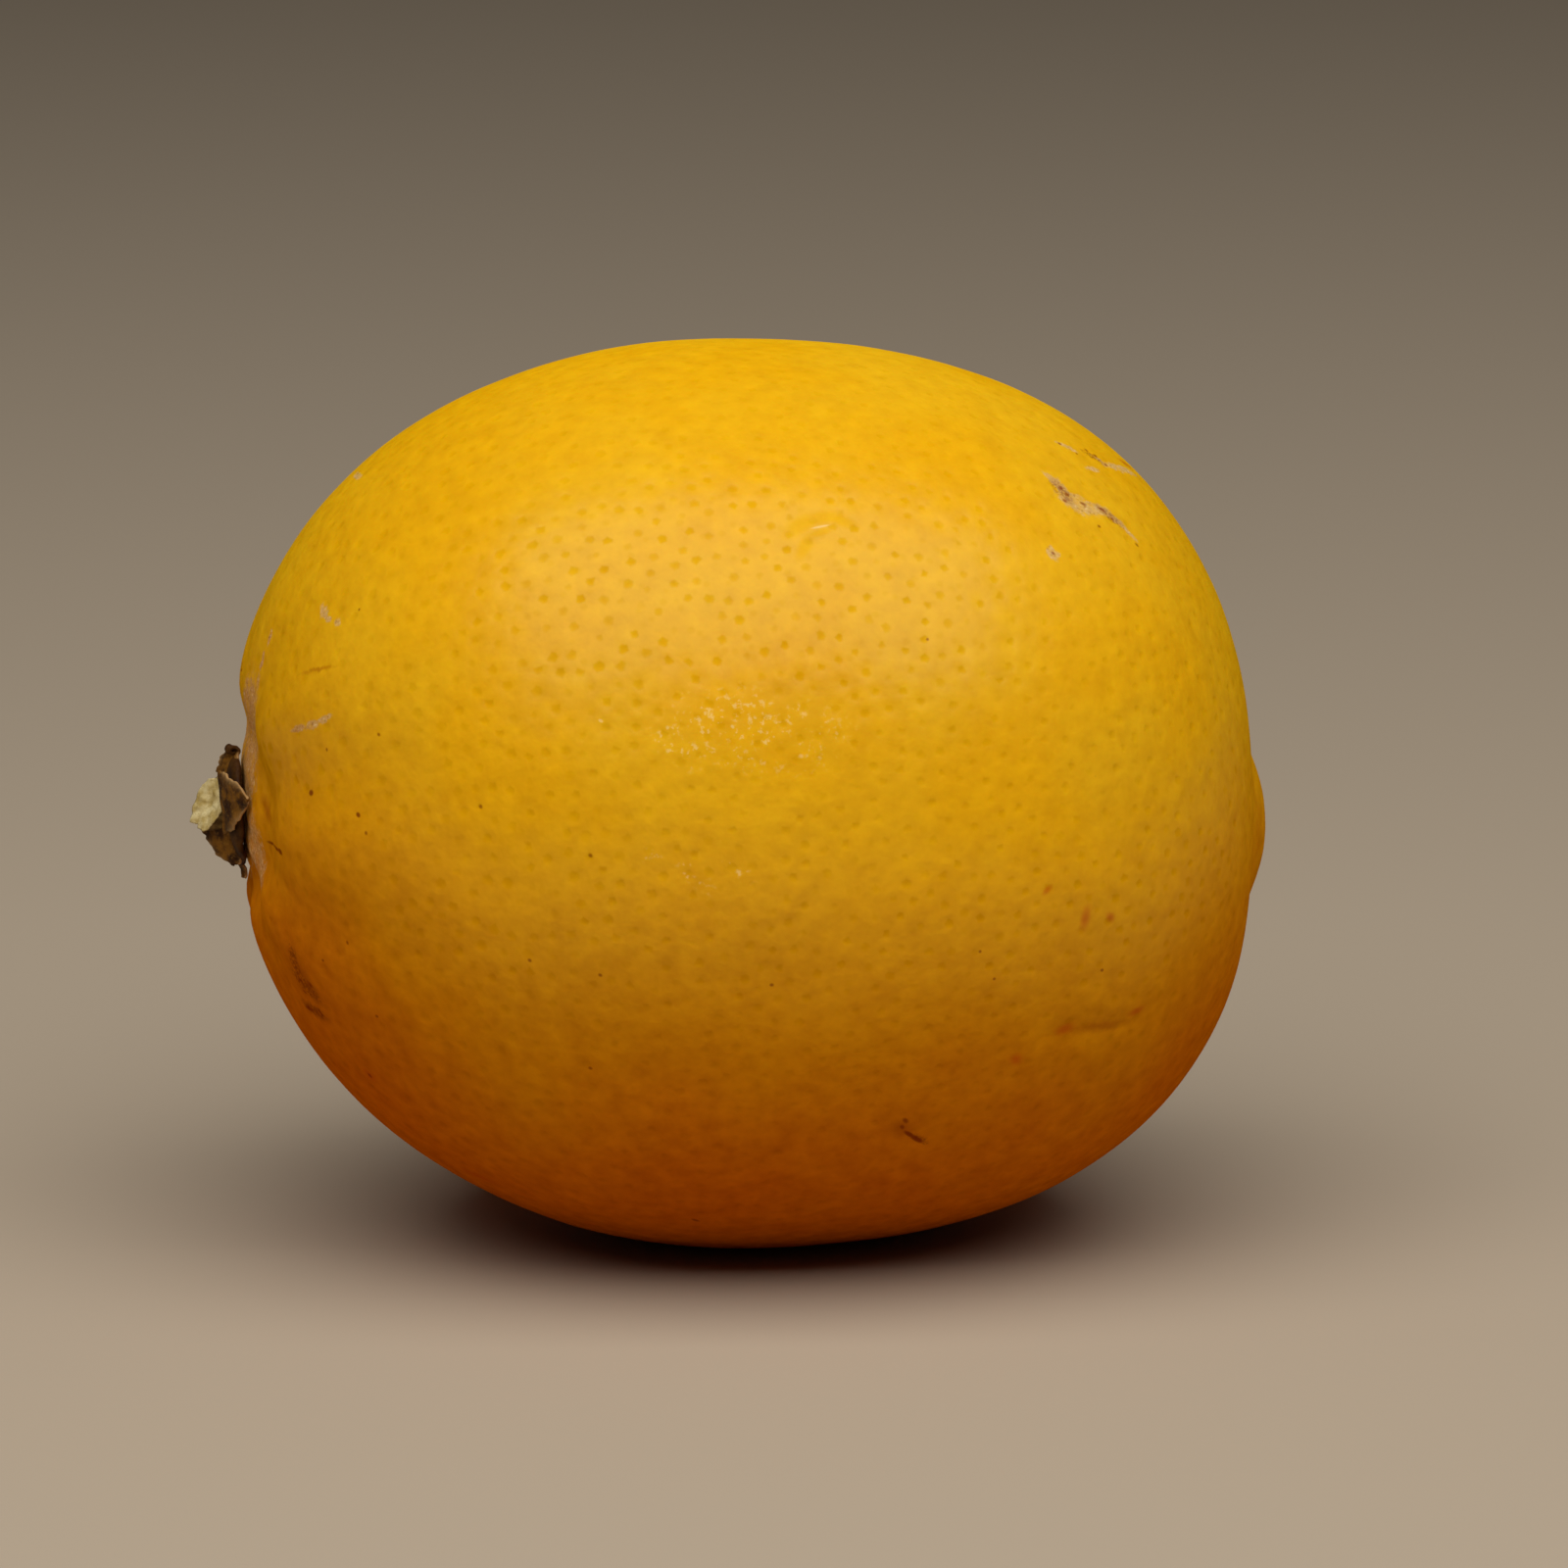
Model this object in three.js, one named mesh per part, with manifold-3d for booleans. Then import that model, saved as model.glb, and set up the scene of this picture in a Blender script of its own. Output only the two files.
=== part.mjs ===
// A lemon lying on its side: the fruit, the dried calyx at its stem end, and the stub of the cut stem.
// Millimetres, +Z up. The stem end points along -X, the tip along +X, and the fruit rests on z = 0.
import * as THREE from "three";
import { mergeVertices } from "three/addons/utils/BufferGeometryUtils.js";
import Module from "manifold-3d";

const wasm = await Module();
wasm.setup();

// Fruit, measured from the middle of its thickest section, which lies nearer to the tip
const STEM_LENGTH = 41.2; // to the shoulders round the calyx
const TIP_LENGTH = 31.6; // to the tip end, without its nipple
const HALF_HEIGHT = 32.35;
const HALF_DEPTH = 32;
const SQUARENESS = 2.3; // 2 would be an ellipsoid, more is fuller towards the ends
const LEAN = 0.018; // share by which the upper stem side and the lower tip side are fuller
const END_LEAN = 0.024; // the same, close to the ends only
const SHOULDER_SLACK = 0.064; // share by which the tip half is leaner near the thickest section
const END_FULLNESS = 0.078; // share by which it is fuller near the tip

// Basin at the stem end, and the deeper ring in it round the low neck that carries the calyx
const BASIN_AT = new THREE.Vector3(-1, 0, 0.03).normalize();
const BASIN_DEPTH = 0.7;
const BASIN_RADIUS = 6;
const BASIN_WIDTH = 2.2; // times wider across than up
const RING_AT = new THREE.Vector3(-1, 0, 0.005).normalize();
const RING_DEPTH = 0.7;
const RING_RADIUS = 5.6;
const RING_THICKNESS = 1.8;
const RING_WIDTH = 1.6; // times wider across than up
const CALYX_AT = new THREE.Vector3(-1, 0, 0.004).normalize();

// Furrows that run out of the basin over the shoulders
const FURROWS = 9;
const FURROW_DEPTH = 0.22;
const FURROW_REACH = 9;
const FURROW_WANDER = 0.6;

// Nipple at the tip, the groove round it, and the scar that the flower left in its middle
const NIPPLE_AT = new THREE.Vector3(1, 0, -0.09).normalize();
const NIPPLE_HEIGHT = 1;
const NIPPLE_RADIUS = 4.8;
const NIPPLE_STEEPNESS = 3;
const GROOVE_DEPTH = 0.45;
const GROOVE_RADIUS = 8.6;
const GROOVE_WIDTH = 3;
const SCAR_DEPTH = 0.35;
const SCAR_RADIUS = 1.3;

// Soft corners that the segments inside give the cross-section: how many, how high, and turned how far
const CORNERS = [
  { count: 3, height: 0.16, turn: 0.9 },
  { count: 5, height: 0.13, turn: 2.4 },
  { count: 8, height: 0.06, turn: 0.4 },
];

// Oil glands, as dimples larger than life
const SKIN_DETAIL = 20;
const DIMPLE_SPACING = 3;
const DIMPLE_DEPTH = 0.13;

// Spot that the soft peel rests on
const REST_FLATTENING = 0.45;

// Calyx: heights above the peel, and distances from the middle of the stem
const PEEL_GAP = 0.35;
const BUTTON_SIDES = 30;
const BUTTON_HOLE = 2.25;
const BUTTON_OVALNESS = 0.08; // higher than wide, like the stem in it
const BUTTON_PROFILE = [
  [BUTTON_HOLE, PEEL_GAP],
  [3.4, PEEL_GAP],
  [3.7, 0.6],
  [3.6, 0.9],
  [3.2, 1.15],
  [2.9, 1.25],
  [BUTTON_HOLE, 1.25],
  [BUTTON_HOLE, PEEL_GAP],
];
const BUTTON_RIDGES = 7;
const BUTTON_RIDGE_SHARE = 0.06;
const BUTTON_WANDER = 0.8;
const BUTTON_LOPSIDED = 0.45; // share by which its rim is wider on its full side
const BUTTON_FULL_SIDE = -50; // an angle, counted as for the sepals

// Sepals: angle is counted from the front (-Y) towards the top, in degrees, and the rest are mm.
// Tilt is how much higher one long edge lies, for each mm across.
const SEPAL_THICKNESS = 0.65;
const SEPAL_TIP = 0.14;
const SEPAL_TAPER = { along: 1.7, across: 0.75 };
const SEPAL_CRINKLE = { height: 0.1, along: 9, across: 4 };
const SEPAL_STEPS = 12;
const SEPAL_COLUMNS = 8;
const SEPALS = [
  { angle: 86, root: 2.4, length: 4.6, width: 1.1, lift: 0.2, rise: 0, curl: 0.1, cup: 0.3, tilt: 0.5 },
  { angle: 8, root: 2.1, length: 5.4, width: 2.1, lift: 0.4, rise: 0.1, curl: 0, cup: -0.3, tilt: 0 },
  { angle: -72, root: 2.3, length: 4.4, width: 1.4, lift: 0.8, rise: 0.2, curl: 0.3, cup: 0.3, tilt: -0.6 },
  { angle: -97, root: 2.4, length: 5.8, width: 0.6, lift: 0.2, rise: 0.1, curl: 0.2, cup: 0.2, tilt: -0.5 },
  { angle: 170, root: 2.1, length: 4.6, width: 1.9, lift: 0.4, rise: 0.4, curl: 0.8, cup: 0.45, tilt: 0.1 },
];

// Stem stub, which stands on the neck and passes through the middle of the button
const STEM_RADIUS = 1.75;
const STEM_OVALNESS = 0.1;
const STEM_WAIST = 0.05;
const STEM_SIDES = 26;
const STEM_RINGS = 6;
const STEM_CUT_RINGS = 4;
const STEM_HEIGHT = 1.95;
const CUT_SLANT = { front: 0.57, up: 0.4 }; // how far the cut drops for each mm across it
const BARK_RIDGES = 5;
const BARK_RIDGE = 0.05;
const BARK_GRAINS = 11;
const BARK_GRAIN = 0.03;
const PITH_DEPTH = 0.25;
const SPLINTER = 0.16;

const SAME_POINT = 1e-4;

// A random number generator that gives the same numbers each run.
function seeded(seed) {
  let state = seed;
  return () => {
    state = (state + 0x6d2b79f5) | 0;
    let t = Math.imul(state ^ (state >>> 15), 1 | state);
    t = (t + Math.imul(t ^ (t >>> 7), 61 | t)) ^ t;
    return ((t ^ (t >>> 14)) >>> 0) / 2 ** 32;
  };
}

const bell = (distance, radius, power = 2) => Math.exp(-((distance / radius) ** power));

// A three.js geometry as one closed surface, each vertex moved by a function.
function shaped(geometry, move) {
  geometry.deleteAttribute("normal");
  geometry.deleteAttribute("uv");
  const merged = mergeVertices(geometry, SAME_POINT);
  const place = merged.getAttribute("position");
  const point = new THREE.Vector3();
  for (let i = 0; i < place.count; i++) {
    const moved = move(point.fromBufferAttribute(place, i), i);
    place.setXYZ(i, moved.x, moved.y, moved.z);
  }
  return merged;
}

function solidOf(geometry) {
  const mesh = new wasm.Mesh({
    numProp: 3,
    vertProperties: new Float32Array(geometry.getAttribute("position").array),
    triVerts: new Uint32Array(geometry.index.array),
  });
  return new wasm.Manifold(mesh);
}

function geometryOf(solid) {
  const mesh = solid.getMesh();
  const geometry = new THREE.BufferGeometry();
  geometry.setAttribute("position", new THREE.BufferAttribute(mesh.vertProperties, 3));
  geometry.setIndex(new THREE.BufferAttribute(mesh.triVerts, 1));
  return geometry;
}

// Distance along the peel, about, from the middle of a feature that may be wider than it is high.
function reach(direction, at, width = 1) {
  const away = direction.clone().sub(at);
  away.y /= width;
  return away.length() * (at.x < 0 ? STEM_LENGTH : TIP_LENGTH);
}

function plainRadius(d) {
  const along = Math.abs(d.x) / (d.x > 0 ? TIP_LENGTH : STEM_LENGTH);
  const across = Math.hypot(d.y / HALF_DEPTH, d.z / HALF_HEIGHT);
  const round = (along ** SQUARENESS + across ** SQUARENESS) ** (-1 / SQUARENESS);
  const fullness = (END_FULLNESS * d.x * d.x - SHOULDER_SLACK) * d.x * (1 - d.x * d.x);
  const lean = (LEAN + END_LEAN * d.x * d.x) * d.x * d.z;
  return round * (1 - lean + fullness);
}

// The peel in the direction d from the fruit's middle, before its dimples.
function peel(d) {
  const turn = Math.atan2(d.z, d.y);
  const waist = 1 - d.x * d.x;
  let radius = plainRadius(d);
  for (const corner of CORNERS) {
    radius += corner.height * waist * Math.sin(corner.count * turn + corner.turn);
  }
  const fromBasin = reach(d, BASIN_AT, BASIN_WIDTH);
  const furrowed = (fromBasin / FURROW_REACH) ** 2 * bell(fromBasin, FURROW_REACH) * Math.E;
  radius -= BASIN_DEPTH * bell(fromBasin, BASIN_RADIUS);
  radius -= RING_DEPTH * bell(reach(d, RING_AT, RING_WIDTH) - RING_RADIUS, RING_THICKNESS);
  const furrowTurn = FURROWS * turn + FURROW_WANDER * Math.sin(2 * turn);
  radius -= FURROW_DEPTH * furrowed * Math.cos(furrowTurn);

  const fromTip = reach(d, NIPPLE_AT);
  radius += NIPPLE_HEIGHT * bell(fromTip, NIPPLE_RADIUS, NIPPLE_STEEPNESS);
  radius -= GROOVE_DEPTH * bell(fromTip - GROOVE_RADIUS, GROOVE_WIDTH);
  radius -= SCAR_DEPTH * bell(fromTip, SCAR_RADIUS);
  return d.clone().multiplyScalar(radius);
}

// Indices of directions that lie at least DIMPLE_SPACING apart, taken in a shuffled order.
function dimpled(directions) {
  const random = seeded(7);
  const order = directions.map((_, i) => [random(), i]).sort((a, b) => a[0] - b[0]);
  const nearest = Math.cos(DIMPLE_SPACING / HALF_HEIGHT);
  const chosen = [];
  for (const [, i] of order) {
    if (chosen.every((j) => directions[i].dot(directions[j]) < nearest)) chosen.push(i);
  }
  return new Set(chosen);
}

function fruitGeometry() {
  const directions = [];
  const ball = shaped(new THREE.IcosahedronGeometry(1, SKIN_DETAIL), (d) => {
    directions.push(d.clone().normalize());
    return d;
  });
  const glands = dimpled(directions);
  let lowest = Infinity;
  for (const d of directions) lowest = Math.min(lowest, peel(d).z);
  const rest = lowest + REST_FLATTENING;
  return shaped(ball, (d, i) => {
    const point = peel(directions[i]);
    if (glands.has(i)) point.addScaledVector(directions[i], -DIMPLE_DEPTH);
    point.z = Math.max(point.z, rest);
    return point;
  });
}

// A point over the basin: to the front and up from the calyx middle, and a height above the peel.
function overPeel(front, up, height) {
  const middle = peel(CALYX_AT);
  const d = middle.add(new THREE.Vector3(0, -front, up)).normalize();
  return peel(d).addScaledVector(CALYX_AT, height);
}

// The button is a ring round the stem, with a ridged rim that is wider on one side.
function buttonGeometry() {
  const profile = BUTTON_PROFILE.map(([radius, height]) => new THREE.Vector2(radius, height));
  const fullSide = THREE.MathUtils.degToRad(BUTTON_FULL_SIDE);
  return shaped(new THREE.LatheGeometry(profile, BUTTON_SIDES), (p) => {
    const turn = Math.atan2(-p.z, p.x);
    const radius = Math.hypot(p.x, p.z);
    const ridges = Math.sin(BUTTON_RIDGES * turn + BUTTON_WANDER * Math.sin(3 * turn));
    const wider = 1 + BUTTON_LOPSIDED * Math.cos(turn - fullSide) + BUTTON_RIDGE_SHARE * ridges;
    const out = BUTTON_HOLE + (radius - BUTTON_HOLE) * wider;
    return overPeel(
      out * Math.cos(turn) * (1 - BUTTON_OVALNESS),
      out * Math.sin(turn) * (1 + BUTTON_OVALNESS),
      p.y,
    );
  });
}

// One dried lobe: broad at its root, drawn out to a point, hollowed across and curled along its length.
function sepalGeometry({ angle, root, length, width, lift, rise, curl, cup, tilt }) {
  const box = new THREE.BoxGeometry(1, 2, 1, SEPAL_STEPS, SEPAL_COLUMNS, 1);
  const turn = THREE.MathUtils.degToRad(angle);
  return shaped(box, (p) => {
    const s = p.x + 0.5;
    const taper = (1 - s ** SEPAL_TAPER.along) ** SEPAL_TAPER.across;
    const across = p.y * (width * taper + SEPAL_TIP);
    const out = root + s * (length - root);
    const hollow = cup * (across / width) ** 2 * s;
    const wave = Math.sin(SEPAL_CRINKLE.along * s + SEPAL_CRINKLE.across * p.y) * s;
    const along = lift * (1 - s) + rise * (1 - s) * s * 2 + curl * s ** 3;
    const under = along + hollow + tilt * across + SEPAL_CRINKLE.height * wave;
    return overPeel(
      out * Math.cos(turn) - across * Math.sin(turn),
      out * Math.sin(turn) + across * Math.cos(turn),
      PEEL_GAP + Math.max(under, 0) + (p.z + 0.5) * SEPAL_THICKNESS,
    );
  });
}

function calyxGeometry() {
  const sepals = SEPALS.map((sepal) => solidOf(sepalGeometry(sepal)));
  return geometryOf(sepals.reduce((whole, sepal) => whole.add(sepal), solidOf(buttonGeometry())));
}

// The cut end of the stub is slanted, splintered and hollow at the pith.
function stemGeometry() {
  const random = seeded(19);
  const side = [];
  for (let i = 0; i <= STEM_RINGS; i++) side.push([STEM_RADIUS, i / STEM_RINGS]);
  const cut = [];
  for (let i = STEM_CUT_RINGS - 1; i >= 0; i--) cut.push([(STEM_RADIUS * i) / STEM_CUT_RINGS, 1]);
  const profile = [[0, 0], ...side, ...cut].map(([radius, height]) => new THREE.Vector2(radius, height));
  return shaped(new THREE.LatheGeometry(profile, STEM_SIDES), (p) => {
    const turn = Math.atan2(p.z, p.x);
    const radius = Math.hypot(p.x, p.z);
    const ridge = BARK_RIDGE * Math.sin(BARK_RIDGES * turn + 1);
    const bark = 1 + ridge + BARK_GRAIN * Math.sin(BARK_GRAINS * turn + 2 * p.y);
    const waist = 1 - STEM_WAIST * p.y * (1 - p.y) * 4;
    const front = p.x * bark * waist * (1 - STEM_OVALNESS);
    const up = -p.z * bark * waist * (1 + STEM_OVALNESS);
    const drop = CUT_SLANT.front * front + CUT_SLANT.up * up;
    const pith = PITH_DEPTH * bell(radius, STEM_RADIUS / 2);
    const rough = SPLINTER * (random() - 0.5) * 2;
    const height = p.y * (STEM_HEIGHT - drop - pith + (p.y === 1 ? rough : 0));
    return overPeel(front, up, PEEL_GAP + height);
  });
}

const zest = new THREE.MeshStandardMaterial({ color: 0xe8b010, roughness: 0.42, metalness: 0 });
const driedSepal = new THREE.MeshStandardMaterial({ color: 0x5a3c16, roughness: 0.85, metalness: 0 });
const cutWood = new THREE.MeshStandardMaterial({ color: 0xb7a06a, roughness: 0.8, metalness: 0 });

const lemon = new THREE.Group();

function addPiece(name, geometry, material) {
  const piece = new THREE.Mesh(geometry, material);
  piece.name = name;
  lemon.add(piece);
}

addPiece("fruit", fruitGeometry(), zest);
addPiece("calyx", calyxGeometry(), driedSepal);
addPiece("stem_stub", stemGeometry(), cutWood);

// The origin goes to the middle of the underside of the whole lemon's box.
const box = new THREE.Box3().setFromObject(lemon);
const middle = box.getCenter(new THREE.Vector3());
lemon.position.set(-middle.x, -middle.y, -box.min.z);

export default lemon;
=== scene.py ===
"""A ripe lemon on its side, with its dried calyx and the stub of its stem, on a plain pale floor.

Metres, +Z up, in the frame of the solids that it dresses. The stem end points along -X.
"""
import math

import bmesh
import bpy
import numpy as np
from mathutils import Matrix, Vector, kdtree, noise


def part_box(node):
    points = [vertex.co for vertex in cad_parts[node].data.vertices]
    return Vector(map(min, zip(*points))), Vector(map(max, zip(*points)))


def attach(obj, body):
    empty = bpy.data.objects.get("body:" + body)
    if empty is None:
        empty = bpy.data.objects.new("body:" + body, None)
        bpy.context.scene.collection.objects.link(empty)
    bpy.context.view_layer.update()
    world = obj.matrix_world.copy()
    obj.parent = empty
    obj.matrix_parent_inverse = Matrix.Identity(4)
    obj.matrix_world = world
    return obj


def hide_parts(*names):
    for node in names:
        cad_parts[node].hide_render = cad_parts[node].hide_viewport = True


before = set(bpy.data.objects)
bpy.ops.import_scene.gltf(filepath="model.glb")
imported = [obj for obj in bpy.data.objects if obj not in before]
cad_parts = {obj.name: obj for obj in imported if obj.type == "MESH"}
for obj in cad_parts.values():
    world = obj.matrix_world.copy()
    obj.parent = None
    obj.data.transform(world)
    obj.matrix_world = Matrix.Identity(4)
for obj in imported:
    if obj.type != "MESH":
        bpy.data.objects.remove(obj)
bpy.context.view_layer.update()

MM = 0.001
ROOT = "root"

# Fruit form: the same values as the solids have
STEM_LENGTH = 41.2 * MM
TIP_LENGTH = 31.6 * MM
HALF_HEIGHT = 32.35 * MM
HALF_DEPTH = 32 * MM
SQUARENESS = 2.3
LEAN = 0.018
END_LEAN = 0.024
SHOULDER_SLACK = 0.064
END_FULLNESS = 0.078
BASIN_AT = np.array([-1, 0, 0.03])
BASIN_DEPTH = 0.7 * MM
BASIN_RADIUS = 6 * MM
BASIN_WIDTH = 2.2
RING_AT = np.array([-1, 0, 0.005])
RING_DEPTH = 0.7 * MM
RING_RADIUS = 5.6 * MM
RING_THICKNESS = 1.8 * MM
RING_WIDTH = 1.6
CALYX_AT = np.array([-1, 0, 0.004])
FURROWS = 9
FURROW_DEPTH = 0.22 * MM
FURROW_REACH = 9 * MM
FURROW_WANDER = 0.6
NIPPLE_AT = np.array([1, 0, -0.09])
NIPPLE_HEIGHT = 1 * MM
NIPPLE_RADIUS = 4.8 * MM
NIPPLE_STEEPNESS = 3
GROOVE_DEPTH = 0.45 * MM
GROOVE_RADIUS = 8.6 * MM
GROOVE_WIDTH = 3 * MM
SCAR_DEPTH = 0.35 * MM
SCAR_RADIUS = 1.3 * MM
CORNERS = [(3, 0.16 * MM, 0.9), (5, 0.13 * MM, 2.4), (8, 0.06 * MM, 0.4)]
FORM_SAMPLES = 40000

# Oil glands: the faint ones are shallower and narrower than the strong ones
GLAND_SPACING = 1.2 * MM
GLAND_TRIES = 60000
GLAND_PLACE_SEED = 11
GLAND_SIZE_SEED = 23
GLAND_RADIUS = 0.5 * MM
GLAND_INNER_RING = 0.18 * MM
STRONG_SHARE = 0.75
STRONG_DEPTH = (0.03 * MM, 0.07 * MM)
FAINT_DEPTH = (0.012 * MM, 0.03 * MM)
STRONG_WIDTH = (0.8, 1.05)
FAINT_WIDTH = (0.65, 0.9)
GLAND_CONTRAST = 0.7

# Rings of a gland, counted from 0 in its middle: how deep and how dark each is, as shares
GLAND_BOWL = [1, 0.5, 0]
GLAND_SHADING = [1, 0.72, 0]
OUTSIDE = len(GLAND_BOWL)

# Width of the soft rim of the flat spot that the fruit rests on
REST_EDGE = 0.15 * MM

# Camera, set so that the fruit lies in the frame as in the photograph, whose width is in pixels
PHOTO = 1600
AZIMUTH = math.radians(-7)
ELEVATION = math.radians(11)
DISTANCE = 710 * MM
LENS = 230
SENSOR = 36
VIEW_RANGE = (0.05, 20)
FRUIT_IN_FRAME = (769, 806)
RIM_SHARE = 0.1
RIM_TRIES = 51


def unit(vectors):
    return vectors / np.linalg.norm(vectors, axis=-1, keepdims=True)


def bell(distance, radius, power=2):
    return np.exp(-np.abs(distance / radius) ** power)


def smooth(low, high, value):
    share = np.clip((value - low) / (high - low), 0, 1)
    return share * share * (3 - 2 * share)


BASIN_AT = unit(BASIN_AT)
RING_AT = unit(RING_AT)
CALYX_AT = unit(CALYX_AT)
NIPPLE_AT = unit(NIPPLE_AT)


def reach(d, at, width=1):
    """Distance along the peel, about, from the middle of a feature to each direction."""
    away = (d - at) / np.array([1, width, 1])
    return np.linalg.norm(away, axis=-1) * (STEM_LENGTH if at[0] < 0 else TIP_LENGTH)


def plain_radius(d):
    x, y, z = d[..., 0], d[..., 1], d[..., 2]
    along = np.abs(x) / np.where(x > 0, TIP_LENGTH, STEM_LENGTH)
    across = np.hypot(y / HALF_DEPTH, z / HALF_HEIGHT)
    round_form = (along**SQUARENESS + across**SQUARENESS) ** (-1 / SQUARENESS)
    fullness = (END_FULLNESS * x * x - SHOULDER_SLACK) * x * (1 - x * x)
    lean = (LEAN + END_LEAN * x * x) * x * z
    return round_form * (1 - lean + fullness)


def peel(d):
    """Points of the smooth peel in the directions d, from the middle of the fruit's form."""
    turn = np.arctan2(d[..., 2], d[..., 1])
    radius = plain_radius(d)
    for count, height, offset in CORNERS:
        radius = radius + height * (1 - d[..., 0] ** 2) * np.sin(count * turn + offset)
    basin = reach(d, BASIN_AT, BASIN_WIDTH)
    furrowed = (basin / FURROW_REACH) ** 2 * bell(basin, FURROW_REACH) * math.e
    radius = radius - BASIN_DEPTH * bell(basin, BASIN_RADIUS)
    ring = reach(d, RING_AT, RING_WIDTH)
    radius = radius - RING_DEPTH * bell(ring - RING_RADIUS, RING_THICKNESS)
    furrow_turn = FURROWS * turn + FURROW_WANDER * np.sin(2 * turn)
    radius = radius - FURROW_DEPTH * furrowed * np.cos(furrow_turn)
    tip = reach(d, NIPPLE_AT)
    radius = radius + NIPPLE_HEIGHT * bell(tip, NIPPLE_RADIUS, NIPPLE_STEEPNESS)
    radius = radius - GROOVE_DEPTH * bell(tip - GROOVE_RADIUS, GROOVE_WIDTH)
    radius = radius - SCAR_DEPTH * bell(tip, SCAR_RADIUS)
    return d * radius[..., None]


def form_middle():
    """Where the middle of the form lies in the frame: its box is laid on the solid's box."""
    golden = math.pi * (3 - math.sqrt(5))
    steps = np.arange(FORM_SAMPLES)
    height = 1 - 2 * (steps + 0.5) / FORM_SAMPLES
    ring = np.sqrt(1 - height**2)
    d = np.stack([height, ring * np.cos(golden * steps), ring * np.sin(golden * steps)], -1)
    points = peel(d)
    low, high = (np.array(corner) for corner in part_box("fruit"))
    middle = (low + high - points.min(0) - points.max(0)) / 2
    middle[2] = high[2] - points[:, 2].max()
    return middle


MIDDLE = form_middle()
CALYX_MIDDLE = peel(CALYX_AT[None])[0]


def over_peel(front, up, height):
    """Points at the stem end: to the front and up from the calyx middle, above the peel."""
    sideways = np.stack([np.zeros_like(up), -front, up], -1)
    d = unit(CALYX_MIDDLE + sideways)
    return MIDDLE + peel(d) + CALYX_AT * height[..., None]


def way_to(azimuth, elevation):
    """The direction of a place that is seen from the fruit at these angles from the front."""
    return Vector((
        math.sin(azimuth) * math.cos(elevation),
        -math.cos(azimuth) * math.cos(elevation),
        math.sin(elevation),
    ))


RIGHT = Vector((math.cos(AZIMUTH), math.sin(AZIMUTH), 0))
BACK = way_to(AZIMUTH, ELEVATION)
UP = BACK.cross(RIGHT)
PIXEL = DISTANCE * SENSOR / LENS / PHOTO
low, high = (Vector(corner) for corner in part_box("fruit"))
FRUIT_MIDDLE = (low + high) / 2
TARGET = (
    FRUIT_MIDDLE
    + RIGHT * (PHOTO / 2 - FRUIT_IN_FRAME[0]) * PIXEL
    - UP * (PHOTO / 2 - FRUIT_IN_FRAME[1]) * PIXEL
)
EYE = TARGET + BACK * DISTANCE


def seen(x, y, on):
    """The point that the photograph shows at this pixel, or at the nearest one inside the rim."""
    pixel = Vector((x, y))
    for inward in np.linspace(0, RIM_SHARE, RIM_TRIES):
        x, y = pixel.lerp(Vector(FRUIT_IN_FRAME), inward) - Vector((PHOTO, PHOTO)) / 2
        way = RIGHT * x * PIXEL - UP * y * PIXEL - BACK * DISTANCE
        hit, point, _, _ = on.ray_cast(EYE, way.normalized())
        if hit:
            return point
    raise ValueError(f"pixel {pixel} isn't on the fruit")


class Field:
    """A value that varies over a surface, as the output of a shader node."""

    def __init__(self, finish, socket):
        self.finish = finish
        self.socket = socket

    def _with(self, operation, *values):
        return self.finish.node("ShaderNodeMath", values, operation=operation)

    def __add__(self, other):
        return self._with("ADD", self, other)

    __radd__ = __add__

    def __sub__(self, other):
        return self._with("SUBTRACT", self, other)

    def __rsub__(self, other):
        return self._with("SUBTRACT", other, self)

    def __mul__(self, other):
        return self._with("MULTIPLY", self, other)

    __rmul__ = __mul__

    def larger(self, other):
        return self._with("MAXIMUM", self, other)

    def smaller(self, other):
        return self._with("MINIMUM", self, other)

    def step(self, start, end):
        """0 at start and 1 at end, with a soft passage between them."""
        return self.finish.node(
            "ShaderNodeMapRange",
            {"Value": self, "From Min": start, "From Max": end},
            interpolation_type="SMOOTHSTEP",
        )


NOISE_ROUGHNESS = 0.55


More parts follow.
